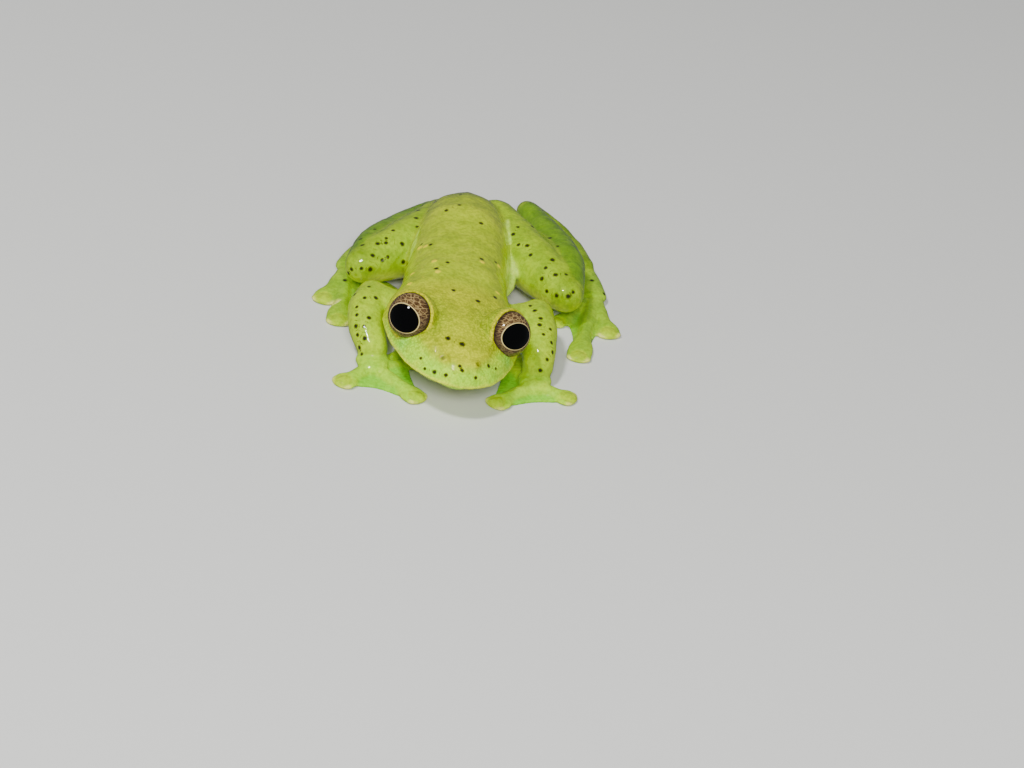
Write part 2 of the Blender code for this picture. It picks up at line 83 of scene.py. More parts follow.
# Head details, as side, distance behind the snout and height above the lips
JAW_INSET = 0.18
CHIN_SET_BACK = 0.32
LID_SINK = 0.10
JAW_INSET_SHARE = 0.3
LIP_FLARE = 0.14
LIP_HEIGHT = 0.30
NECK_AT = 8.7
NECK_BLEND = 1.5
EYE_PLACE = (3.24, 4.67, 2.16)
EYE_RADIUS = 1.59
EYE_OUT_DEG = 40.0
EYE_UP_DEG = 22.0
LID_PLANE = 0.28
ORBIT_RADIUS = 1.72
ORBIT_SET_BACK = 0.12
LID_RADIUS = 1.60
LID_THICKNESS = 0.13
NOSTRIL_PLACE = (1.06, 0.95, 1.50)
NOSTRIL_BUMP = (0.36, 0.34, 0.24)
EARDRUM_PLACE = (7.55, 1.35)
EARDRUM_RADIUS = 0.55
PUPIL_OUT_DEG = {"l": 22.0, "r": 31.0}
PUPIL_UP_DEG = {"l": 23.0, "r": 14.0}
PUPIL_HALF_DEG = {"l": (41.0, 34.0), "r": (43.5, 36.0)}
PUPIL_TILT_DEG = 10.0

# Shoulders, hips and the dip before the hips: rise, distance from the middle and
# its spread, distance behind the snout and its spread
BACK_SWELLINGS = (
    (0.12, 1.7, 0.9, 11.2, 1.3),
    (0.10, 0.0, 1.7, 19.0, 0.9),
    (-0.08, 0.0, 2.0, 16.6, 1.4),
)

# The loose fold of skin on the left flank, and its half widths
FLANK_FOLD = (
    (1.75, 17.20, 4.10),
    (2.30, 15.20, 3.20),
    (2.60, 13.60, 2.55),
    (2.58, 12.30, 2.15),
    (2.30, 10.90, 1.85),
)
FLANK_WIDTH = ((0.0, 0.18), (0.35, 0.30), (0.65, 0.45), (0.82, 0.42), (1.0, 0.15))

# The pose: where the joints and the pads of the digits are, digits from the
# innermost to the outermost
ARMS = {
    "l": {
        "shoulder": (1.6, 5.2, 2.8),
        "elbow": (4.75, 8.05, 2.40),
        "forearm": (5.15, 4.90, 2.00),
        "wrist": (5.28, 3.40, 1.15),
        "palm": (5.20, 2.10, 0.50),
        "digits": ((3.50, 6.10), (3.20, 4.70), (2.88, -0.66), (7.66, 1.30)),
    },
    "r": {
        "shoulder": (-3.3, 5.2, 2.8),
        "elbow": (-6.45, 7.50, 2.35),
        "forearm": (-6.60, 4.70, 2.05),
        "wrist": (-5.85, 3.00, 1.15),
        "palm": (-5.65, 1.70, 0.50),
        "digits": ((-3.60, 4.70), (-3.30, 3.00), (-2.36, -1.39), (-7.38, -0.70)),
    },
}
LEGS = {
    "l": {
        "hip": (1.00, 20.60, 2.50),
        "thigh": (3.70, 15.75, 2.45),
        "knee": (6.60, 11.50, 2.42),
        "fold": ((2.20, 20.90, 2.10), (4.85, 16.30, 2.30), (6.50, 12.80, 2.30)),
        "calf": (6.05, 16.60, 2.45),
        "heel": (3.10, 24.25, 1.90),
        "instep": (5.85, 22.30, 1.25),
        "ankle": (7.65, 19.00, 0.90),
        "sole": (8.65, 15.60, 0.48),
        "digits": (
            (5.50, 15.40),
            (4.95, 13.40),
            (6.20, 11.50),
            (8.00, 7.05),
            (9.90, 10.90),
        ),
    },
    "r": {
        "hip": (-2.85, 19.60, 2.50),
        "thigh": (-5.00, 15.10, 2.45),
        "knee": (-7.65, 11.70, 2.42),
        "fold": ((-3.90, 20.60, 1.95), (-6.00, 15.80, 2.20), (-7.40, 12.60, 2.25)),
        "calf": (-6.75, 16.00, 2.15),
        "heel": (-3.75, 22.90, 1.50),
        "instep": (-6.20, 20.90, 1.10),
        "ankle": (-7.95, 18.00, 0.85),
        "sole": (-8.85, 15.00, 0.48),
        "digits": (
            (-6.00, 15.00),
            (-5.60, 12.80),
            (-6.90, 10.40),
            (-8.62, 7.40),
            (-9.95, 10.15),
        ),
    },
}

# Half widths along each limb, as shares of its length
UPPER_ARM = ((0.0, 1.10), (0.5, 1.05), (1.0, 1.12))
FOREARM = ((0.0, 1.20), (0.35, 1.32), (0.7, 1.22), (1.0, 1.08))
THIGH = ((0.0, 1.75), (0.35, 1.95), (0.7, 1.80), (1.0, 1.25))
SHANK = ((0.0, 1.22), (0.3, 1.42), (0.65, 1.15), (1.0, 0.85))
FOLD = ((0.0, 0.70), (0.5, 0.95), (1.0, 0.80))
FOLD_HEIGHT = ((0.0, 1.00), (0.5, 1.50), (1.0, 1.30))
TARSUS = ((0.0, 0.85), (0.5, 0.72), (1.0, 0.72))
PALM = ((0.0, 0.85), (0.5, 1.15), (1.0, 1.05))
SOLE = ((0.0, 0.80), (0.5, 0.90), (1.0, 0.85))
LIMB_SIDES = 48
LIMB_RINGS = 44

# A digit: a slim shank with a knuckle, ending in a wide, flat, rounded pad
DIGIT_WIDTH = (
    (0.0, 0.54),
    (0.30, 0.49),
    (0.42, 0.53),
    (0.58, 0.49),
    (0.70, 0.55),
    (0.84, 0.84),
    (1.0, 0.88),
)
DIGIT_HEIGHT = ((0.0, 0.42), (0.6, 0.36), (0.78, 0.33), (1.0, 0.26))
PAD_ROUNDING = 0.55
INNER_DIGIT_SCALE = 0.82
KNUCKLE_AT = 0.55
PAW_HEIGHT = 0.50
DIGIT_SIDES = 32
DIGIT_RINGS = 26
FLAT_SINK = 0.06
WEB_THICKNESS = 0.30
WEB_ASIDE = 0.55
HAND_WEBS = ((0.30, 0.30, 0.05), (0.90, 0.92, 0.02), (0.90, 0.90, 0.17))
FOOT_WEBS = (
    (0.70, 0.66, 0.12),
    (0.80, 0.76, 0.10),
    (0.86, 0.86, 0.06),
    (0.86, 0.88, 0.06),
)

# The camera of the photograph, in the same millimetres
CAMERA_PLACE = np.array((3.7519, -192.0557, 112.3497))
CAMERA_RIGHT = np.array((0.99027, 0.06959, 0.12053))
CAMERA_UP = np.array((-0.13917, 0.49513, 0.85760))
CAMERA_BACK = np.array((0.0, -0.86603, 0.5))
FOCAL_PX = 3344.0
FRAME_PX = (1024.0, 768.0)
SENSOR_MM = 36.0

# Lamps: direction from the frog, distance and size in metres, power, and whether
# the wet skin mirrors them
LAMPS = {
    "key": (
        -0.22 * CAMERA_RIGHT + 0.62 * CAMERA_UP + 0.75 * CAMERA_BACK,
        0.30, 0.04, 0.60, True,
    ),
    "front": (
        0.08 * CAMERA_RIGHT + 0.10 * CAMERA_UP + CAMERA_BACK,
        0.35, 0.10, 0.95, False,
    ),
    "soft_left": ((-1.0, -0.3, 0.7), 0.50, 0.40, 0.14, False),
    "soft_right": ((1.0, -0.3, 0.7), 0.50, 0.40, 0.14, False),
}

# Where single marks lie in the view: an enlarged frame of the photograph,
# whose corner and scale these two give
VIEW_CORNER = (300.0, 180.0)
VIEW_SCALE = 4.6118
DOTS = {
    "head": (0.215, ((708, 508), (820, 558), (683, 730), (748, 757))),
    "snout": (0.155, (
        (557, 822), (737, 858), (748, 878), (870, 858), (903, 870), (810, 912),
        (673, 900), (620, 885), (575, 870),
    )),
    "back": (0.185, (
        (560, 297), (603, 298), (628, 408), (838, 365), (902, 380), (680, 380),
        (835, 200), (900, 542), (740, 68), (735, 115), (675, 140), (870, 82),
        (900, 130),
    )),
    "legs": (0.185, (
        (345, 227), (430, 232), (545, 140), (535, 175), (540, 215), (280, 272),
        (288, 300), (358, 293), (398, 268), (397, 290), (335, 348), (472, 295),
        (283, 408), (237, 412), (223, 430), (325, 412), (405, 355), (380, 370),
        (475, 378), (207, 462), (1005, 217), (1072, 215), (983, 250),
        (1150, 268), (1188, 305), (1008, 298), (1048, 302), (1165, 368),
        (1133, 405), (1063, 345), (1115, 455), (1178, 437), (1227, 435),
        (1138, 513), (1183, 532), (1237, 537), (1260, 517), (1403, 525),
        (1347, 463),
    )),
    "arms": (0.175, (
        (318, 492), (298, 543), (252, 528), (350, 543), (262, 585), (262, 622),
        (318, 635), (257, 675), (295, 675), (265, 715), (298, 730), (273, 773),
        (285, 803), (1062, 580), (1110, 638), (1105, 668), (1123, 712),
        (1160, 750), (1165, 795), (1083, 602), (1155, 688), (1140, 828),
        (1108, 878), (1160, 935),
    )),
}
HIDDEN_TRIES = 6000
HIDDEN_SPACING = (0.9, 1.7)
HIDDEN_SIZE = (0.14, 0.20)
FLECKS = (0.30, (
    (578, 308), (552, 314), (620, 375), (635, 424), (518, 435), (505, 480),
    (840, 380), (916, 398), (910, 522),
))
# The pale folds of the flanks: points in the view, and half widths
STREAKS = (
    ((552, 225, 0.08), (536, 262, 0.20), (522, 310, 0.26), (512, 345, 0.14),
     (502, 372, 0.06)),
    ((958, 185, 0.04), (968, 290, 0.08)),
)

# Colours, as the skin shows them in soft light
SRGB = {
    "forehead": (200, 206, 0),
    "brow": (124, 168, 0),
    "cheek": (196, 255, 0),
    "back": (174, 198, 0),
    "band": (184, 204, 20),
    # painted shade: the rear of the back, which faces up and away from the lamps, made darker
    "rump_painted_shade": (128, 158, 0),
    "belly": (214, 224, 130),
    "limb": (156, 192, 0),
    "shank": (108, 152, 0),
    # the pale unpigmented front of the thigh, made lighter still as painted light where it faces
    # the lamps
    "pale_thigh_front_and_painted_light": (200, 222, 0),
    "arm": (172, 208, 0),
    "hand": (180, 232, 20),
    "web": (140, 226, 30),
    "strip": (118, 152, 20),
    "foot": (150, 196, 20),
    "foot_web": (140, 206, 30),
    "pad": (184, 214, 0),
    "pad_rim": (236, 244, 120),
    "streak": (214, 255, 90),
    "lip": (228, 255, 40),
    "rim": (220, 214, 0),
    # painted reflection: green light thrown up from below onto the cheek under each eye
    "painted_green_reflection": (40, 240, 120),
    # painted shade: the dark inside of the nostril openings
    "nostril": (34, 42, 0),
}

# Colours of marks, eyes and floor, as linear light
LIGHT = {
    "cloud": (1.0, 1.0, 0.75, 1.0),
    "mottle": (0.55, 0.60, 0.20, 1.0),
    "stipple": (0.46, 0.56, 0.0, 1.0),
    "fleck": (0.95, 0.80, 0.0, 1.0),
    "spot": (0.022, 0.026, 0.004, 1.0),
    "iris_sides": (0.040, 0.024, 0.020, 1.0),
    "iris_above": (0.060, 0.030, 0.010, 1.0),
    "iris_below": (0.050, 0.042, 0.006, 1.0),
    "iris_dust": (0.20, 0.12, 0.06, 1.0),
    "iris_net": (0.40, 0.28, 0.11, 1.0),
    # the iris's own dark edge, with painted shade where the eye meets the lids
    "iris_edge_and_painted_shade": (0.02, 0.012, 0.008, 1.0),
    "pupil_ring": (0.75, 0.60, 0.25, 1.0),
    "pupil": (0.0008, 0.0008, 0.001, 1.0),
    "floor": (0.80, 0.80, 0.77, 1.0),
    "floor_speckle": (0.70, 0.70, 0.67, 1.0),
}


# Curves and frames
def smooth(table, at):
    """A smooth curve through rows of (place, values...), read at all of at."""
    rows = np.array(table, dtype=float)
    places, values = rows[:, 0], rows[:, 1:]
    slopes = np.empty_like(values)
    slopes[1:-1] = (values[2:] - values[:-2]) / (places[2:] - places[:-2])[:, None]
    slopes[0] = (values[1] - values[0]) / (places[1] - places[0])
    slopes[-1] = (values[-1] - values[-2]) / (places[-1] - places[-2])
    at = np.clip(np.asarray(at, dtype=float), places[0], places[-1])
    i = np.clip(np.searchsorted(places, at) - 1, 0, len(places) - 2)
    span = places[i + 1] - places[i]
    t = ((at - places[i]) / span)[..., None]
    span = span[..., None]
    value = (
        (1 + 2 * t) * (1 - t) ** 2 * values[i]
        + t * t * (3 - 2 * t) * values[i + 1]
        + t * (1 - t) ** 2 * span * slopes[i]
        + t * t * (t - 1) * span * slopes[i + 1]
    )
    return value[..., 0] if value.shape[-1] == 1 else value


def unit(vectors):
    return vectors / np.linalg.norm(vectors, axis=-1, keepdims=True)


def step_up(low, high, values):
    """Rises smoothly from 0 at low to 1 at high."""
    t = np.clip((values - low) / (high - low), 0, 1)
    return t * t * (3 - 2 * t)


def bell(values, width):
    return np.exp(-((values / width) ** 2))


def body_frame(s):
    """Places on the body's line s behind the snout, with side, back and up."""
    step = 0.05
    s = np.clip(np.asarray(s, dtype=float), 0, AXIS[-1][0])
    centre = smooth(AXIS, s)
    back = unit(smooth(AXIS, s + step) - smooth(AXIS, s - step))
    side = unit(np.cross(back, (0.0, 0.0, 1.0)))
    up = np.cross(side, back)
    angle = np.radians(smooth(ROLL, s))[..., None]
    cosine, sine = np.cos(angle), np.sin(angle)
    turned_side = side * cosine + np.cross(back, side) * sine
    turned_up = up * cosine + np.cross(back, up) * sine
    return centre, turned_side, back, turned_up


def body_point(side, s, height):
    centre, across, _, up = body_frame(s)
    return centre + across * side + up * height


def body_places(points):
    """Side, distance behind the snout and height of points, by the body's line."""
    s = np.interp(points[:, 1], [row[2] for row in AXIS], [row[0] for row in AXIS])
    for _ in range(3):
        centre, _, back, _ = body_frame(s)
        s = np.clip(s + ((points - centre) * back).sum(1), 0, AXIS[-1][0])
    centre, across, _, up = body_frame(s)
    return ((points - centre) * across).sum(1), s, ((points - centre) * up).sum(1)


def gaze(side, out_deg, up_deg):
    """A direction out of the head, for the frog's left or right."""
    _, across, back, up = body_frame(EYE_PLACE[1])
    hand = 1 if side == "l" else -1
    out, rise = math.radians(out_deg), math.radians(up_deg)
    level = -back * math.cos(out) + across * hand * math.sin(out)
    return level * math.cos(rise) + up * math.sin(rise)


def eye_centre(side):
    hand = 1 if side == "l" else -1
    return body_point(hand * EYE_PLACE[0], EYE_PLACE[1], EYE_PLACE[2])


def upright_axes(direction):
    """Right and up for someone who looks back along a direction."""
    right = unit(np.cross((0.0, 0.0, 1.0), direction))
    return right, np.cross(direction, right)


# Closed forms, each with the label of the part of the animal that it is
FORMS = []


def add_form(rings, label, capped=True):
    """A closed skin through rings of equally many points, capped or a full circle."""
    rings = np.asarray(rings)
    count, sides, _ = rings.shape
    points = rings.reshape(-1, 3)
    index = np.arange(count * sides).reshape(count, sides)
    near, far = (index[:-1], index[1:]) if capped else (index, np.roll(index, -1, 0))
    corners = (near, np.roll(near, -1, 1), np.roll(far, -1, 1), far)
    faces = [tuple(quad) for quad in np.stack(corners, axis=-1).reshape(-1, 4)]
    if capped:
        first, last = len(points), len(points) + 1
        points = np.vstack((points, rings[0].mean(0), rings[-1].mean(0)))
        for i in range(sides):
            j = (i + 1) % sides
            faces.append((index[0, j], index[0, i], first))
            faces.append((index[-1, i], index[-1, j], last))
    FORMS.append((points, faces, label))


def body_rings():
    share = (1 - np.cos(np.linspace(0, np.pi, BODY_RINGS))) / 2
    even = np.linspace(0, 1, BODY_RINGS)
    s = GIRTH[-1][0] * (END_CROWDING * share + (1 - END_CROWDING) * even)
    half, top, bottom = smooth(GIRTH, s).T[:, :, None]
    power = (2 / smooth(SQUARENESS, s))[:, None]
    on_head = np.clip((NECK_AT - s) / NECK_BLEND, 0, 1)[:, None]
    angle = np.linspace(0, 2 * np.pi, BODY_SIDES, endpoint=False)
    cosine, sine = np.cos(angle)[None], np.sin(angle)[None]
    height = np.sign(sine) * np.abs(sine) ** power * np.where(sine > 0, top, bottom)
    side = np.sign(cosine) * np.abs(cosine) ** power
    flare = on_head * LIP_FLARE * bell(height, LIP_HEIGHT)
    inset = on_head * np.minimum(JAW_INSET, JAW_INSET_SHARE * half)
    width = np.where(sine >= -1e-6, half + flare, half - inset)
    centre, across, _, up = body_frame(s)
    return (
        centre[:, None]
        + across[:, None] * (side * width)[..., None]
        + up[:, None] * height[..., None]
    )


def dome_rings(centre, radius, axis, cut, sides=64, count=30):
    """A ball cut flat at a distance cut in front of its centre."""
    right, up = upright_axes(axis)
    polar = np.linspace(0.02, math.pi - math.acos(cut / radius), count)
    turn = np.linspace(0, 2 * np.pi, sides, endpoint=False)
    out = right * np.cos(turn)[:, None] + up * np.sin(turn)[:, None]
    rings = [
        centre - axis * radius * math.cos(a) + out * radius * math.sin(a)
        for a in polar
    ]
    return np.array(rings)


def torus_rings(centre, axis, radius, thickness, count=96, sides=16):
    """Rings round a torus."""
    right, up = upright_axes(axis)
    rings = []
    for turn in np.linspace(0, 2 * np.pi, count, endpoint=False):
        out = right * math.cos(turn) + up * math.sin(turn)
        angles = np.linspace(0, 2 * np.pi, sides, endpoint=False)[:, None]
        rings.append(
            centre
            + out * (radius + thickness * np.cos(angles))
            + axis * thickness * np.sin(angles)
        )
    return np.array(rings)


def path_points(points, share):
    """Points on the smooth path through points, by share of its length."""
    steps = np.linalg.norm(np.diff(points, axis=0), axis=1)
    places = np.concatenate(([0], np.cumsum(steps)))
    table = np.column_stack((places / places[-1], points))
    return smooth(table, share)


def closing(distance, rounding):
    """How far a round end has opened at a distance from its tip, 0 to 1."""
    left = np.clip(1 - distance / rounding, 0, 1)
    return np.sqrt(np.clip(1 - left * left, 0, 1))


def tube_rings(points, widths, heights=None, rounding=None,
               sides=LIMB_SIDES, middle=LIMB_RINGS):
    """A limb from tip to tip: rings along a path, rounded off at both ends."""
    heights = heights or widths
    points = np.array(points, dtype=float)
    first, last = widths[0][1], (rounding or widths[-1][1])
    start, finish = points[0] - points[1], points[-1] - points[-2]
    points[0] = points[0] + unit(start) * first
    points[-1] = points[-1] + unit(finish) * last
    length = np.linalg.norm(np.diff(points, axis=0), axis=1).sum()
    turn = np.radians((8, 18, 30, 42, 55, 68, 80, 90))
    near = first * (1 - np.cos(turn))
    far = length - last * (1 - np.cos(turn[::-1]))
    between = np.linspace(near[-1], far[0], middle + 2)[1:-1]
    place = np.concatenate((near, between, far))
    share = place / length
    inner = np.clip((place - first) / (length - first - last), 0, 1)
    end = np.minimum(closing(place, first), closing(length - place, last))
    half = (smooth(widths, inner) * end)[:, None, None]
    tall = (smooth(heights, inner) * end)[:, None, None]
    step = 0.02
    here = path_points(points, share)
    along = unit(path_points(points, share + step) - path_points(points, share - step))
    across = unit(np.cross(along, (0.0, 0.0, 1.0)))
    up = np.cross(across, along)
    angle = np.linspace(0, 2 * np.pi, sides, endpoint=False)[None, :, None]
    return (
        here[:, None]
        + across[:, None] * half * np.cos(angle)
        + up[:, None] * tall * np.sin(angle)
    )


def scaled(table, scale):
    return tuple((place, value * scale) for place, value in table)


def add_digit(root, pad, scale, label):
    heights = scaled(DIGIT_HEIGHT, scale)
    first = np.array((root[0], root[1], DIGIT_HEIGHT[0][1] - FLAT_SINK))
    tip = np.array((pad[0], pad[1], heights[-1][1] - FLAT_SINK))
    path = (first, first + (tip - first) * KNUCKLE_AT, tip)
    widths = scaled(DIGIT_WIDTH, scale)
    rings = tube_rings(path, widths, heights, PAD_ROUNDING, DIGIT_SIDES, DIGIT_RINGS)
    add_form(rings, label)


def beside(root, pad, other):
    """A point on the edge of a pad, on the side of another pad."""
    along = unit(pad - root)
    aside = np.array((-along[1], along[0]))
    return pad + aside * math.copysign(WEB_ASIDE, aside @ (other - pad))


def add_web(root, pad_a, pad_b, reach, label):
    """A thin sheet of skin between two digits, with a hollow front edge."""
    reach_a, reach_b, sag = reach
    root, pad_a, pad_b = (np.array(point[:2]) for point in (root, pad_a, pad_b))
    end_a, end_b = beside(root, pad_a, pad_b), beside(root, pad_b, pad_a)
    columns, rows = 24, 16
    rings = []
    for c in np.linspace(0, 1, columns + 1):
        edge = (reach_a * (1 - c) + reach_b * c) * (1 - sag * math.sin(math.pi * c))
        steps = np.linspace(0.08, 1, rows)[:, None] * edge
        spots = (root + (end_a - root) * steps) * (1 - c)
        spots = spots + (root + (end_b - root) * steps) * c
        rise = WEB_THICKNESS + 0.16 * abs(2 * c - 1) ** 3
        low = np.full((rows, 1), -FLAT_SINK)
        thick = rise * (1 - 0.25 * np.linspace(0, 1, rows)[:, None] ** 4)
        upper = np.hstack((spots, low + thick))
        lower = np.hstack((spots, low))
        rings.append(np.vstack((upper, lower[::-1])))
    add_form(rings, label)


def add_paw(root, core, widths, pads, webs, label):
    """A hand or a foot: its core, its digits and the webs between them."""
    for number, pad in enumerate(pads):
        scale = INNER_DIGIT_SCALE if number < len(pads) - 2 else 1.0
        add_digit(root, pad, scale, label)
    for number, reach in enumerate(webs):
        add_web(root, pads[number], pads[number + 1], reach, label + "_web")
    heights = tuple((place, PAW_HEIGHT) for place, _ in widths)
    add_form(tube_rings(core, widths, heights, middle=12), label)


LABELS = ("body", "flank", "lids", "upper_arm", "forearm", "hand", "hand_web",
          "thigh", "shank", "tarsus", "foot", "foot_web")


def make_forms():
    add_form(body_rings(), "body")
    add_form(tube_rings(FLANK_FOLD, FLANK_WIDTH), "flank")
    for side in "lr":
        hand = 1 if side == "l" else -1
        look = gaze(side, EYE_OUT_DEG, EYE_UP_DEG)
        eye = eye_centre(side)
        set_back = eye - look * ORBIT_SET_BACK
        cut = LID_PLANE + ORBIT_SET_BACK - LID_SINK
        add_form(dome_rings(set_back, ORBIT_RADIUS, look, cut), "lids")
        lid_centre = eye + look * (LID_PLANE - LID_SINK)
        rim = torus_rings(lid_centre, look, LID_RADIUS, LID_THICKNESS)
        add_form(rim, "lids", capped=False)
        nostril = body_point(hand * NOSTRIL_PLACE[0], *NOSTRIL_PLACE[1:])
        bump = dome_rings(np.zeros(3), 1.0, np.array((0.0, -1.0, 0.0)), 0.98, 32, 20)
        add_form(bump * NOSTRIL_BUMP + nostril, "body")
        arm, leg = ARMS[side], LEGS[side]
        add_form(tube_rings((arm["shoulder"], arm["elbow"]), UPPER_ARM), "upper_arm")
        path = (arm["elbow"], arm["forearm"], arm["wrist"])
        add_form(tube_rings(path, FOREARM), "forearm")
        core = (arm["wrist"][:2] + (PAW_HEIGHT,), arm["palm"])
        add_paw(arm["palm"], core, PALM, arm["digits"], HAND_WEBS, "hand")
        add_form(tube_rings((leg["hip"], leg["thigh"], leg["knee"]), THIGH), "thigh")
        add_form(tube_rings((leg["knee"], leg["calf"], leg["heel"]), SHANK), "shank")
        add_form(tube_rings(leg["fold"], FOLD, FOLD_HEIGHT), "thigh")
        path = (leg["heel"], leg["instep"], leg["ankle"])
        add_form(tube_rings(path, TARSUS), "tarsus")
        core = (leg["ankle"][:2] + (PAW_HEIGHT,), leg["sole"])
        add_paw(leg["sole"], core, SOLE, leg["digits"], FOOT_WEBS, "foot")


def new_object(name, points, faces):
    mesh = bpy.data.meshes.new(name)
    mesh.from_pydata([tuple(p) for p in points], [], faces)
    mesh.update()
    obj = bpy.data.objects.new(name, mesh)
    bpy.context.scene.collection.objects.link(obj)
    return obj


def fuse_forms():
    """One skin of even quads round all the forms, as points and faces."""
    points, faces, base = [], [], 0
    for form_points, form_faces, _ in FORMS:
        points.append(form_points)
        faces += [tuple(i + base for i in face) for face in form_faces]
        base += len(form_points)
    obj = new_object("forms", np.vstack(points), faces)
    modifier = obj.modifiers.new("fuse", "REMESH")
    modifier.mode = "VOXEL"
    modifier.voxel_size = VOXEL
    modifier.adaptivity = 0.0
    solid = obj.evaluated_get(bpy.context.evaluated_depsgraph_get())
    mesh = bpy.data.meshes.new_from_object(solid)
    fused = np.empty(len(mesh.vertices) * 3)
    mesh.vertices.foreach_get("co", fused)
    corners = np.empty(len(mesh.loops), dtype=np.int64)
    mesh.loops.foreach_get("vertex_index", corners)
    sizes = np.empty(len(mesh.polygons), dtype=np.int64)
    mesh.polygons.foreach_get("loop_total", sizes)
    bpy.data.objects.remove(obj, do_unlink=True)
    if (sizes != 4).any():
        raise SystemExit("the fused skin has faces that aren't quads")
    return fused.reshape(-1, 3), corners.reshape(-1, 4)


class Skin:
    """The fused skin: its points, faces, neighbours, normals and labels."""

    def __init__(self, points, faces):
        self.points, self.faces = points, faces
        self.keep_main_shell()
        pairs = np.concatenate([self.faces[:, [i, (i + 1) % 4]] for i in range(4)])
        pairs = np.unique(np.sort(pairs, axis=1), axis=0)
        self.a = np.concatenate((pairs[:, 0], pairs[:, 1]))
        self.b = np.concatenate((pairs[:, 1], pairs[:, 0]))
        self.count = np.bincount(self.a, minlength=len(self.points))

    def keep_main_shell(self):
        """Drops sealed hollows: only the shell with the most faces stays."""
        label = np.arange(len(self.points))
        while True:
            low = label[self.faces].min(1)
            new = label.copy()
            for corner in range(4):
                np.minimum.at(new, self.faces[:, corner], low)
            new = new[new]
            if (new == label).all():
                break
            label = new
        shells, sizes = np.unique(label[self.faces[:, 0]], return_counts=True)
        kept = label == shells[sizes.argmax()]
        index = np.cumsum(kept) - 1
        self.faces = index[self.faces[kept[self.faces[:, 0]]]]
        self.points = self.points[kept]

    def mean(self, values):
        """The mean of each vertex's neighbours."""
        if values.ndim == 1:
            return np.bincount(self.a, values[self.b], len(self.points)) / self.count
        return np.column_stack([self.mean(column) for column in values.T])

    def relax(self, weight, rounds, inflate=-0.53):
        """Smooths the surface where weight says, without shrinking it."""
        weight = np.broadcast_to(weight, len(self.points))[:, None]
        for _ in range(rounds):
            for share in (0.5, inflate):
                if share:
                    change = self.mean(self.points) - self.points
                    self.points = self.points + change * share * weight

    def spread(self, values, rounds):
        for _ in range(rounds):
            values = (values + self.mean(values)) / 2
        return values

    def normals(self):
        p = self.points[self.faces]
        cross = np.cross(p[:, 2] - p[:, 0], p[:, 3] - p[:, 1])
        total = np.column_stack([
            sum(
                np.bincount(self.faces[:, corner], cross[:, axis], len(self.points))
                for corner in range(4)
            )
            for axis in range(3)
        ])
        return unit(total + 1e-12)

    def push(self, amount):
        """Moves the surface along its normals, out where amount is positive."""
        self.points = self.points + self.normals() * amount[:, None]

    def name_parts(self):
        """How much each vertex belongs to each part of the animal."""
        total = sum(len(form[0]) for form in FORMS)
        tree = KDTree(total)
        owner = []
        for form_points, _, label in FORMS:
            for point in form_points:
                tree.insert(point, len(owner))
                owner.append(LABELS.index(label))
        tree.balance()
        nearest = [owner[tree.find(point)[1]] for point in self.points]
        share = np.eye(len(LABELS))[nearest]
        share = self.spread(share, 6)
        self.share = dict(zip(LABELS, share.T))


def near_points(points, centres, width):
    """Highest where points are close to any of the centres."""
    best = np.zeros(len(points))
    for centre in centres:
        far = np.linalg.norm(points - np.array(centre), axis=1)
        best = np.maximum(best, bell(far, width))
    return best


def soften_joints(skin):
    """Blends limbs into each other and into the body where flesh does."""
    joints = [limb[key] for limb in ARMS.values() for key in ("elbow", "shoulder")]
    joints += [limb[key] for limb in LEGS.values() for key in ("knee", "hip")]
    skin.relax(near_points(skin.points, joints, 1.9), 30, 0.0)
    small = [limb["wrist"] for limb in ARMS.values()]
    small += [limb[key] for limb in LEGS.values() for key in ("ankle", "heel")]
    skin.relax(near_points(skin.points, small, 1.1), 20, 0.0)
    folds = [path_points(np.array(limb["fold"]), share)
             for limb in LEGS.values() for share in np.linspace(0, 1, 9)]
    skin.relax(near_points(skin.points, folds, 1.5), 60, 0.0)
    main = np.max(list(skin.share.values()), axis=0)
    seam = step_up(0.0, 0.5, 1 - main) * (1 - step_up(0.0, 0.3, skin.share["lids"]))
    skin.relax(skin.spread(seam, 3), 14, 0.0)


def nostril_pits(out_by=0.0):
    """The places of the two nostrils, or places further out along their axes."""
    _, across, back, up = body_frame(NOSTRIL_PLACE[1])
    pits = []
    for hand in (1, -1):
        out = unit(across * hand * 0.8 - back * 0.6 + up * 0.75)
        bump = body_point(hand * NOSTRIL_PLACE[0], *NOSTRIL_PLACE[1:])
        pits.append(bump + out * (0.6 * NOSTRIL_BUMP[0] + out_by))
    return np.array(pits)


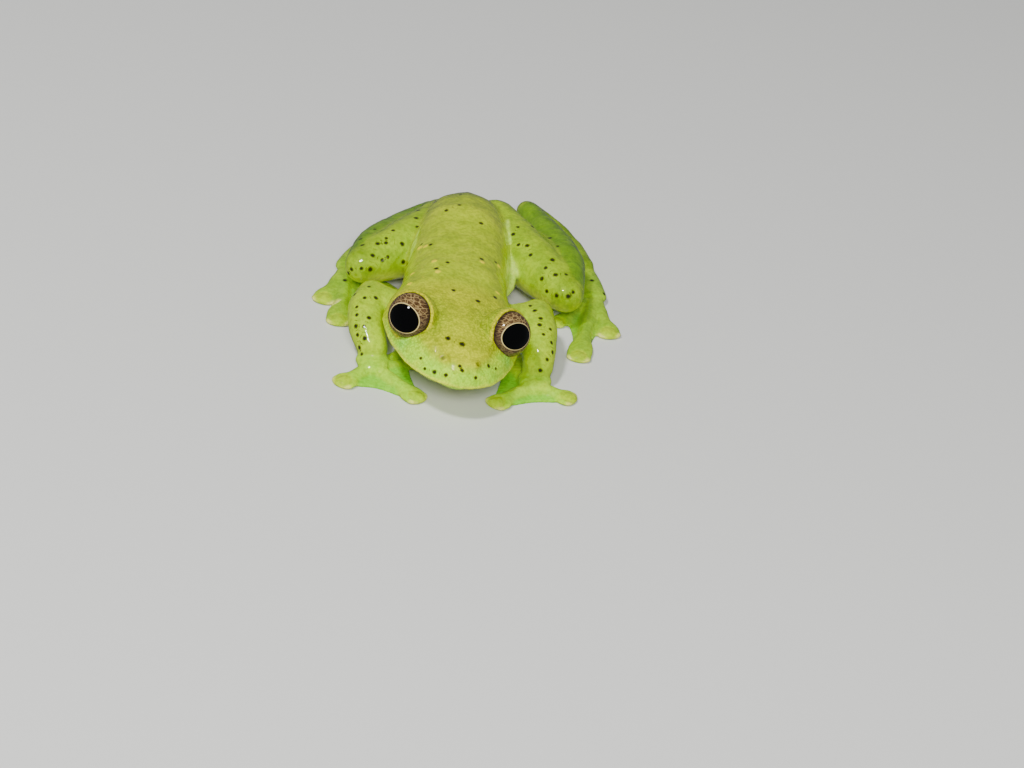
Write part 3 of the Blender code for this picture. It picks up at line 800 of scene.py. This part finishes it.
def sculpt_head(skin):
    side, s, height = body_places(skin.points)
    aside = np.abs(side)
    head = skin.share["body"] * (1 - step_up(7.4, 8.6, s)) + skin.share["lids"]
    # The slit of the mouth and the roll of the lip above it
    mouth = head * (1 - step_up(7.0, 7.9, s))
    amount = mouth * (0.03 * bell(height - 0.14, 0.10) - 0.20 * bell(height + 0.05, 0.075))
    # The ridge from nostril to eye, the hollow below it and the one between the eyes
    along = np.clip((s - NOSTRIL_PLACE[1]) / 2.2, 0, 1)
    ridge = NOSTRIL_PLACE[0] + along * 1.15
    amount += 0.09 * head * bell(aside - ridge, 0.30) * bell(s - 2.1, 1.1)
    amount -= 0.07 * head * bell(aside - ridge - 0.75, 0.35) * bell(s - 2.2, 0.9)
    amount -= 0.06 * head * bell(side, 0.9) * bell(s - 4.8, 1.3) * (height > 1)
    # The ring of the eardrum and the dip inside it
    drum = np.hypot(s - EARDRUM_PLACE[0], height - EARDRUM_PLACE[1])
    ring = 0.05 * bell(drum - EARDRUM_RADIUS, 0.12) - 0.04 * bell(drum, 0.4)
    amount += head * (aside > 3) * ring
    skin.push(amount)
    chin = CHIN_SET_BACK * head * step_up(0.02, 0.25, -height) * (1 - step_up(0.5, 4.0, s))
    skin.points = skin.points + body_frame(s)[2] * chin[:, None]
    pits = nostril_pits()
    skin.relax(near_points(skin.points, pits, 0.6), 14, 0.0)
    for pit, out in zip(pits, nostril_pits(1.0) - pits):
        far = np.linalg.norm(skin.points - pit, axis=1)
        skin.points = skin.points - unit(out) * (0.22 * bell(far, 0.14))[:, None]


def sculpt_trunk(skin):
    side, s, height = body_places(skin.points)
    aside = np.abs(side)
    top = skin.share["body"] * step_up(0.6, 1.6, height)
    amount = np.zeros(len(s))
    for rise, middle, width, place, length in BACK_SWELLINGS:
        amount += rise * bell(aside - middle, width) * bell(s - place, length)
    # The end of the spine and the hollows beside it
    amount += 0.06 * bell(side, 0.35) * step_up(19.0, 20.0, s)
    amount -= 0.05 * bell(aside - 1.0, 0.5) * step_up(19.5, 20.5, s)
    skin.push(amount * top)
    bumps = np.array([noise.noise(Vector(p) * 0.55) for p in skin.points])
    fine = np.array([noise.noise(Vector(p) * 1.6) for p in skin.points])
    thin = sum(skin.share[k] for k in ("hand", "foot", "hand_web", "foot_web"))
    soft = 1 - skin.share["lids"] - 0.6 * thin
    skin.push((0.07 * bumps + 0.025 * fine) * soft)


def pads():
    """The middle of each pad on the floor, with the way that its digit points."""
    for limb in list(ARMS.values()) + list(LEGS.values()):
        root = np.array(limb["palm"] if "palm" in limb else limb["sole"])[:2]
        for pad in limb["digits"]:
            yield np.array(pad), unit(np.array(pad) - root)


def sculpt_pads(skin):
    """A groove round each pad, and the swelling that it rings."""
    amount = np.zeros(len(skin.points))
    upper = step_up(0.15, 0.3, skin.points[:, 2])
    for pad, ahead in pads():
        far = np.linalg.norm(skin.points[:, :2] - pad - ahead * 0.05, axis=1)
        amount += upper * (0.05 * bell(far, 0.35) - 0.05 * bell(far - 0.55, 0.12))
    skin.push(amount * (skin.share["hand"] + skin.share["foot"]))


# Marks placed by the view
def sight_line(view_x, view_y):
    x = VIEW_CORNER[0] + view_x / VIEW_SCALE
    y = VIEW_CORNER[1] + view_y / VIEW_SCALE
    ray = (
        CAMERA_RIGHT * (x - FRAME_PX[0] / 2)
        - CAMERA_UP * (y - FRAME_PX[1] / 2)
        - CAMERA_BACK * FOCAL_PX
    )
    return unit(ray)


def seen_at(tree, view_x, view_y):
    """Where a sight line meets the skin, or None."""
    ray = sight_line(view_x, view_y)
    hit = tree.ray_cast(Vector(CAMERA_PLACE), Vector(ray))
    return None if hit[0] is None else np.array(hit[0])


def seen_marks(tree):
    dots = []
    for size, places in DOTS.values():
        for number, place in enumerate(places):
            spot = seen_at(tree, *place)
            if spot is not None:
                dots.append((*spot, size * (0.85 + 0.1 * (number % 4))))
    return dots


def hidden_marks(skin, dots, random):
    """More dots of the same kind where the view doesn't reach."""
    normals = skin.normals()
    sight = unit(CAMERA_PLACE - skin.points)
    hidden = (normals * sight).sum(1) < 0.12
    dotted = sum(skin.share[k] for k in ("body", "upper_arm", "forearm", "thigh",
                                         "shank", "tarsus")) > 0.9
    upper = (normals[:, 2] > -0.05) & (skin.points[:, 2] > 0.7)
    chosen = np.flatnonzero(hidden & dotted & upper)
    random.shuffle(chosen)
    placed = np.array([dot[:3] for dot in dots])
    for index in chosen[:HIDDEN_TRIES]:
        point = skin.points[index]
        nearest = np.linalg.norm(placed - point, axis=1).min()
        if nearest > random.uniform(*HIDDEN_SPACING):
            placed = np.vstack((placed, point))
            dots.append((*point, random.uniform(*HIDDEN_SIZE)))
    return dots


def offsets(points, marks):
    """From each point to its nearest mark, in units of the mark's size."""
    tree = KDTree(len(marks))
    for number, mark in enumerate(marks):
        tree.insert(mark[:3], number)
    tree.balance()
    nearest = np.array([tree.find(point)[1] for point in points])
    marks = np.array(marks)[nearest]
    return (points - marks[:, :3]) / marks[:, 3:4]


def linear(name):
    """A named colour as the renderer's linear light."""
    value = np.array(SRGB[name]) / 255
    return np.where(value <= 0.04045, value / 12.92, ((value + 0.055) / 1.055) ** 2.4)


def blend_to(colour, name, amount):
    amount = np.clip(amount, 0, 1)[:, None]
    return colour * (1 - amount) + linear(name) * amount


def to_line(points, line):
    """Distance from points to a chain of points, less its half width."""
    best = np.full(len(points), 99.0)
    for near, far in zip(line, line[1:]):
        a, b = np.array(near[:3]), np.array(far[:3])
        t = np.clip(((points - a) @ (b - a)) / ((b - a) @ (b - a)), 0, 1)
        width = near[3] + (far[3] - near[3]) * t
        gap = np.linalg.norm(points - a - t[:, None] * (b - a), axis=1)
        best = np.minimum(best, gap - width)
    return best


def paint(skin, tree):
    """The slow changes of colour over the animal, one colour a vertex, with some painted shade,
    light and reflection.
    """
    side, s, height = body_places(skin.points)
    share = skin.share
    z = skin.points[:, 2]
    patches = np.array([noise.noise(Vector(p) * 0.45 + Vector((9, 3, 1)))
                        for p in skin.points])
    colour = np.repeat(linear("back")[None], len(skin.points), axis=0)
    body = share["body"] + share["lids"]
    colour = blend_to(colour, "band", 0.9 * body * bell(s - 19.0, 1.0) * step_up(0.5, 2, height))
    colour = blend_to(colour, "band", 0.8 * body * step_up(0.05, 0.4, patches))
    head = body * (1 - step_up(7.0, 10.0, s))
    colour = blend_to(colour, "forehead", head)
    orbit = near_points(skin.points, [eye_centre("l"), eye_centre("r")], 2.3)
    colour = blend_to(colour, "brow", 0.75 * head * orbit * step_up(1.0, 2.2, height))
    low = 1 - step_up(0.85, 1.55, height - 0.10 * s)
    colour = blend_to(colour, "cheek", head * low * (1 - step_up(5.5, 7.5, s)))
    # Painted shade: the rear of the back darkened where it turns up and away from the light
    colour = blend_to(colour, "rump_painted_shade", 0.8 * body * step_up(20.5, 24.0, s))
    colour = blend_to(colour, "belly", body * (1 - step_up(-1.2, -0.3, height)))
    for label, name in (("upper_arm", "arm"), ("forearm", "arm"), ("hand", "hand"),
                        ("thigh", "limb"), ("shank", "shank"), ("tarsus", "strip"),
                        ("foot", "foot"), ("hand_web", "web"), ("foot_web", "foot_web"),
                        ("flank", "streak")):
        colour = blend_to(colour, name, share[label])
    # The lower front of the thigh: its own pale skin, brightened further as painted light on the
    # side that faces the camera
    low = share["thigh"] * (1 - step_up(1.6, 2.6, z))
    colour = blend_to(colour, "pale_thigh_front_and_painted_light", low)
    lip = body * bell(height - 0.15, 0.11) * (1 - step_up(6.5, 7.8, s))
    colour = blend_to(colour, "lip", lip)
    # Painted shade: the shallow nostril pits coloured dark as if they were deep openings
    nostril = near_points(skin.points, nostril_pits(), 0.15)
    colour = blend_to(colour, "nostril", 1.3 * nostril)
    tip = share["hand"] + share["foot"]
    for pad, ahead in pads():
        flat = skin.points[:, :2] - pad
        far = np.linalg.norm(flat, axis=1)
        front = step_up(-0.1, 0.3, flat @ ahead)
        colour = blend_to(colour, "pad", 0.7 * tip * (far < 0.62) * (z > 0.1))
        rim = step_up(0.50, 0.72, far) * front * (far < 1.3)
        colour = blend_to(colour, "pad_rim", rim * tip)
    for key in "lr":
        look = gaze(key, EYE_OUT_DEG, EYE_UP_DEG)
        from_eye = skin.points - eye_centre(key)
        depth = from_eye @ look
        ring = np.linalg.norm(from_eye, axis=1)
        edge = step_up(LID_PLANE - 0.28, LID_PLANE - 0.12, depth) * (ring < 1.85)
        colour = blend_to(colour, "rim", share["lids"] * edge)
        # Painted reflection: a cyan-green patch under each eye, as green light bounced up from
        # below
        under = body_point((1 if key == "l" else -1) * 3.1, 3.6, 0.55)
        colour = blend_to(colour, "painted_green_reflection", 0.8 * head * near_points(
            skin.points, [under], 0.55))
    for line in STREAKS:
        chain = []
        for view_x, view_y, width in line:
            spot = seen_at(tree, view_x, view_y)
            if spot is not None:
                chain.append((*spot, width))
        near = 1 - step_up(-0.02, 0.16, to_line(skin.points, chain))
        colour = blend_to(colour, "streak", near)
    return colour


def store(mesh, name, values, kind):
    attribute = mesh.attributes.new(name, kind, "POINT")
    field = {"FLOAT": "value", "FLOAT_VECTOR": "vector", "FLOAT_COLOR": "color"}[kind]
    if kind == "FLOAT_COLOR":
        values = np.column_stack((values, np.ones(len(values))))
    attribute.data.foreach_set(field, np.ascontiguousarray(values).ravel())


def finished(name, points, faces):
    """A piece in metres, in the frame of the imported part."""
    obj = new_object(name, (points - CENTRE) * MM, [tuple(face) for face in faces])
    obj.data.shade_smooth()
    return obj


# Materials
def material(name):
    made = bpy.data.materials.new(name)
    made.use_nodes = True
    return made, made.node_tree, made.node_tree.nodes["Principled BSDF"]


def node(tree, kind, inputs=None, **settings):
    made = tree.nodes.new("ShaderNode" + kind)
    for key, value in settings.items():
        setattr(made, key, value)
    for key, value in (inputs or {}).items():
        if isinstance(value, bpy.types.NodeSocket):
            tree.links.new(value, made.inputs[key])
        else:
            made.inputs[key].default_value = value
    return made


def maths(tree, operation, *values):
    return node(tree, "Math", dict(enumerate(values)), operation=operation).outputs[0]


def less(tree, value):
    return maths(tree, "SUBTRACT", 1.0, value)


def mix(tree, factor, first, second, blend="MIX"):
    made = node(tree, "Mix", {0: factor, 6: first, 7: second}, data_type="RGBA",
                blend_type=blend)
    return made.outputs[2]


def ramp(tree, value, low, high):
    """0 at low and 1 at high, clamped."""
    made = node(tree, "MapRange", {0: value, 1: low, 2: high, 3: 0.0, 4: 1.0})
    made.interpolation_type = "SMOOTHSTEP"
    return made.outputs[0]


def attribute(tree, name):
    return node(tree, "Attribute", attribute_name=name)


def place_in_mm(tree):
    where = node(tree, "TexCoord").outputs["Object"]
    return node(tree, "Mapping", {0: where, 3: (1000.0,) * 3}).outputs[0]


def noise_at(tree, place, scale, detail=2.0):
    made = node(tree, "TexNoise", {"Vector": place, "Scale": scale, "Detail": detail})
    return made.outputs["Fac"]


def mark_mask(tree, name, place, low, high):
    """1 inside the marks of an attribute, with slightly uneven edges."""
    offset = attribute(tree, name).outputs["Vector"]
    size = node(tree, "VectorMath", {0: offset}, operation="LENGTH").outputs["Value"]
    uneven = maths(tree, "MULTIPLY", noise_at(tree, place, 6.0), 0.6)
    size = maths(tree, "ADD", size, uneven)
    return less(tree, ramp(tree, size, low, high))


def skin_material():
    made, tree, shader = material("frog_skin")
    place = place_in_mm(tree)
    colour = attribute(tree, "tint").outputs["Color"]
    grain = attribute(tree, "grain").outputs["Fac"]
    cloud = ramp(tree, noise_at(tree, place, 0.9, 3.0), 0.35, 0.65)
    colour = mix(tree, maths(tree, "MULTIPLY", cloud, 0.5), colour,
                 LIGHT["cloud"], "SOFT_LIGHT")
    mottle = ramp(tree, noise_at(tree, place, 4.0, 4.0), 0.42, 0.62)
    colour = mix(tree, maths(tree, "MULTIPLY", mottle, 0.45), colour,
                 LIGHT["mottle"], "MULTIPLY")
    cells = node(tree, "TexVoronoi", {"Vector": place, "Scale": 6.5})
    stipple = ramp(tree, cells.outputs["Distance"], 0.30, 0.70)
    fine = maths(tree, "MULTIPLY", stipple, maths(tree, "MULTIPLY", grain, 0.85))
    colour = mix(tree, fine, colour, LIGHT["stipple"], "MULTIPLY")
    gold = mark_mask(tree, "fleck", place, 0.75, 1.15)
    colour = mix(tree, gold, colour, LIGHT["fleck"])
    dark = mark_mask(tree, "spot", place, 0.75, 1.50)
    colour = mix(tree, dark, colour, LIGHT["spot"])
    tree.links.new(colour, shader.inputs["Base Color"])
    rough = maths(tree, "MULTIPLY", noise_at(tree, place, 2.2, 3.0), 0.22)
    tree.links.new(maths(tree, "ADD", rough, 0.34), shader.inputs["Roughness"])
    shader.inputs["Specular IOR Level"].default_value = 0.15
    shader.inputs["Subsurface Weight"].default_value = 0.45
    shader.inputs["Subsurface Radius"].default_value = (0.9, 1.0, 0.25)
    shader.inputs["Subsurface Scale"].default_value = 0.0007
    shader.inputs["IOR"].default_value = 1.40
    shader.inputs["Coat Weight"].default_value = 1.0
    shader.inputs["Coat Roughness"].default_value = 0.03
    pebbles = maths(tree, "MULTIPLY", cells.outputs["Distance"],
                    maths(tree, "ADD", maths(tree, "MULTIPLY", grain, -0.9), -0.15))
    relief = maths(tree, "ADD", pebbles, noise_at(tree, place, 2.6, 3.0))
    bump = node(tree, "Bump", {"Strength": 0.6, "Distance": 0.00006, "Height": relief})
    tree.links.new(bump.outputs[0], shader.inputs["Normal"])
    wet = maths(tree, "ADD", maths(tree, "MULTIPLY", relief, 0.35),
                noise_at(tree, place, 1.5, 1.0))
    film = node(tree, "Bump", {"Strength": 1.0, "Distance": 0.00007, "Height": wet})
    tree.links.new(film.outputs[0], shader.inputs["Coat Normal"])
    return made


def eye_material():
    """A large pupil in a bronze, netted iris under a clear wet surface."""
    made, tree, shader = material("frog_eye")
    look = attribute(tree, "look").outputs["Vector"]
    opening = attribute(tree, "opening").outputs["Fac"]
    split = node(tree, "SeparateXYZ", {0: look})
    x, y = split.outputs[0], split.outputs[1]
    out = maths(tree, "SQRT", maths(tree, "ADD", maths(tree, "MULTIPLY", x, x),
                                    maths(tree, "MULTIPLY", y, y)))
    waver = node(tree, "TexNoise", {"Vector": look, "Scale": 3.0, "Detail": 3.0})
    bent = mix(tree, 0.22, look, waver.outputs["Color"], "ADD")
    stretched = node(tree, "Mapping", {0: bent, 3: (2.6, 5.2, 2.6)}).outputs[0]
    coarse = node(tree, "TexVoronoi", {"Vector": stretched, "Scale": 1.0},
                  feature="DISTANCE_TO_EDGE").outputs["Distance"]
    small = node(tree, "TexVoronoi", {"Vector": stretched, "Scale": 2.3},
                 feature="DISTANCE_TO_EDGE").outputs["Distance"]
    above = ramp(tree, y, 0.2, 1.3)
    base = mix(tree, above, LIGHT["iris_sides"], LIGHT["iris_above"])
    below = ramp(tree, y, -0.9, -1.6)
    base = mix(tree, below, base, LIGHT["iris_below"])
    dust = less(tree, ramp(tree, small, 0.03, 0.16))
    base = mix(tree, maths(tree, "MULTIPLY", dust, 0.5), base, LIGHT["iris_dust"])
    lines = less(tree, ramp(tree, coarse, 0.02, 0.11))
    golden = maths(tree, "ADD", maths(tree, "MULTIPLY", above, 0.6), 0.3)
    base = mix(tree, maths(tree, "MULTIPLY", lines, golden), base,
               LIGHT["iris_net"])
    # Darker towards the lids: partly the iris's own dark edge, partly painted shade where the
    # eyeball meets the lids
    edge = ramp(tree, opening, 0.46, 0.22)
    base = mix(tree, maths(tree, "MULTIPLY", edge, 0.85), base, LIGHT["iris_edge_and_painted_shade"])
    ring = less(tree, ramp(tree, out, 1.02, 1.05))
    base = mix(tree, ring, base, LIGHT["pupil_ring"])
    pupil = less(tree, ramp(tree, out, 0.98, 1.0))
    base = mix(tree, pupil, base, LIGHT["pupil"])
    tree.links.new(base, shader.inputs["Base Color"])
    shader.inputs["Roughness"].default_value = 0.5
    shader.inputs["Specular IOR Level"].default_value = 0.0
    shader.inputs["Coat Weight"].default_value = 1.0
    shader.inputs["Coat IOR"].default_value = 1.33
    shader.inputs["Coat Roughness"].default_value = 0.01
    return made


def make_skin():
    make_forms()
    skin = Skin(*fuse_forms())
    skin.name_parts()
    skin.relax(1.0, 6)
    soften_joints(skin)
    sculpt_head(skin)
    sculpt_trunk(skin)
    sculpt_pads(skin)
    skin.relax(1.0, 2)
    tree = BVHTree.FromPolygons([tuple(p) for p in skin.points],
                                [tuple(f) for f in skin.faces])
    random = np.random.RandomState(SEED)
    dots = hidden_marks(skin, seen_marks(tree), random)
    size, places = FLECKS
    flecks = [(*seen_at(tree, *place), size) for place in places]
    fleck = offsets(skin.points, flecks)
    spot = offsets(skin.points, dots)
    tint = paint(skin, tree)
    skin.push(0.07 * bell(np.linalg.norm(fleck, axis=1), 0.9))
    skin.points[:, 2] = np.maximum(skin.points[:, 2], 0.0)
    orbit = near_points(skin.points, [eye_centre("l"), eye_centre("r")], 2.4)
    _, s, _ = body_places(skin.points)
    body = skin.share["body"] + skin.share["lids"]
    grain = 0.15 + body * (0.85 * orbit + 0.25 * (1 - step_up(7, 10, s)))
    obj = finished("frog_skin", skin.points, skin.faces)
    store(obj.data, "tint", tint, "FLOAT_COLOR")
    store(obj.data, "spot", spot, "FLOAT_VECTOR")
    store(obj.data, "fleck", fleck, "FLOAT_VECTOR")
    store(obj.data, "grain", np.clip(grain, 0, 1), "FLOAT")
    obj.data.materials.append(skin_material())
    return obj


def make_eye(side, look_material):
    axis = gaze(side, PUPIL_OUT_DEG[side], PUPIL_UP_DEG[side])
    _, _, _, above = body_frame(EYE_PLACE[1])
    up = unit(above - axis * (above @ axis))
    right = np.cross(up, axis)
    tilt = math.radians(PUPIL_TILT_DEG) * (1 if side == "l" else -1)
    right, up = (right * math.cos(tilt) + up * math.sin(tilt),
                 up * math.cos(tilt) - right * math.sin(tilt))
    around, rows = 96, 64
    polar = np.linspace(0.0, math.pi, rows + 1)[1:-1]
    turn = np.linspace(0, 2 * np.pi, around, endpoint=False)
    out = right * np.cos(turn)[:, None] + up * np.sin(turn)[:, None]
    rings = np.array([axis * math.cos(a) + out * math.sin(a) for a in polar])
    directions = np.vstack((rings.reshape(-1, 3), axis, -axis))
    index = np.arange((rows - 1) * around).reshape(rows - 1, around)
    faces = []
    for ring in range(rows - 2):
        for i in range(around):
            j = (i + 1) % around
            faces.append((index[ring, i], index[ring + 1, i],
                          index[ring + 1, j], index[ring, j]))
    front, rear = len(directions) - 2, len(directions) - 1
    for i in range(around):
        j = (i + 1) % around
        faces.append((index[0, i], index[0, j], front))
        faces.append((index[-1, j], index[-1, i], rear))
    obj = finished("eyeball_" + side, eye_centre(side) + directions * EYE_RADIUS, faces)
    wide, tall = (math.sin(math.radians(half)) for half in PUPIL_HALF_DEG[side])
    look = (directions @ right / wide, directions @ up / tall, directions @ axis)
    store(obj.data, "look", np.column_stack(look), "FLOAT_VECTOR")
    opening = directions @ gaze(side, EYE_OUT_DEG, EYE_UP_DEG)
    store(obj.data, "opening", opening, "FLOAT")
    obj.data.materials.append(look_material)
    return obj


# The setting
def floor_material():
    made, tree, shader = material("floor")
    place = node(tree, "TexCoord").outputs["Object"]
    speckle = node(tree, "TexNoise", {"Vector": place, "Scale": 900.0, "Detail": 3.0})
    colour = mix(tree, maths(tree, "MULTIPLY", speckle.outputs["Fac"], 0.10),
                 LIGHT["floor"], LIGHT["floor_speckle"])
    tree.links.new(colour, shader.inputs["Base Color"])
    shader.inputs["Roughness"].default_value = 0.75
    return made


def area_light(name, direction, distance, size, power, glossy):
    data = bpy.data.lights.new(name, "AREA")
    data.shape = "DISK"
    data.size = size
    data.energy = power
    light = bpy.data.objects.new(name, data)
    place = Vector(unit(np.array(direction, dtype=float))) * distance
    light.location = place
    light.rotation_euler = place.to_track_quat("Z", "Y").to_euler()
    light.visible_glossy = glossy
    bpy.context.scene.collection.objects.link(light)


def make_setting():
    size = 4.0
    corners = [(-size, -size, 0), (size, -size, 0), (size, size, 0), (-size, size, 0)]
    floor = new_object("floor", np.array(corners, dtype=float), [(0, 1, 2, 3)])
    floor.data.materials.append(floor_material())
    floor.visible_glossy = False
    world = bpy.data.worlds.new("soft_light")
    bpy.context.scene.world = world
    world.use_nodes = True
    background = world.node_tree.nodes["Background"]
    background.inputs["Color"].default_value = (0.95, 0.97, 1.0, 1.0)
    background.inputs["Strength"].default_value = 0.14
    for name, (direction, *sizes) in LAMPS.items():
        area_light(name, direction, *sizes)


def make_camera():
    data = bpy.data.cameras.new("camera")
    data.sensor_width = SENSOR_MM
    data.lens = SENSOR_MM * FOCAL_PX / FRAME_PX[0]
    data.clip_start = 0.001
    camera = bpy.data.objects.new("camera", data)
    axes = Matrix((CAMERA_RIGHT, CAMERA_UP, CAMERA_BACK)).transposed()
    place = Matrix.Translation(Vector((CAMERA_PLACE - CENTRE) * MM))
    camera.matrix_world = place @ axes.to_4x4()
    bpy.context.scene.collection.objects.link(camera)
    bpy.context.scene.camera = camera


make_camera()
make_setting()
skin = make_skin()
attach(skin, "root")
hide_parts(*(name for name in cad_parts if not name.startswith("eye_")))
eye_look = eye_material()
for side in "lr":
    eye = make_eye(side, eye_look)
    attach(eye, "root")
    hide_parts("eye_" + side)
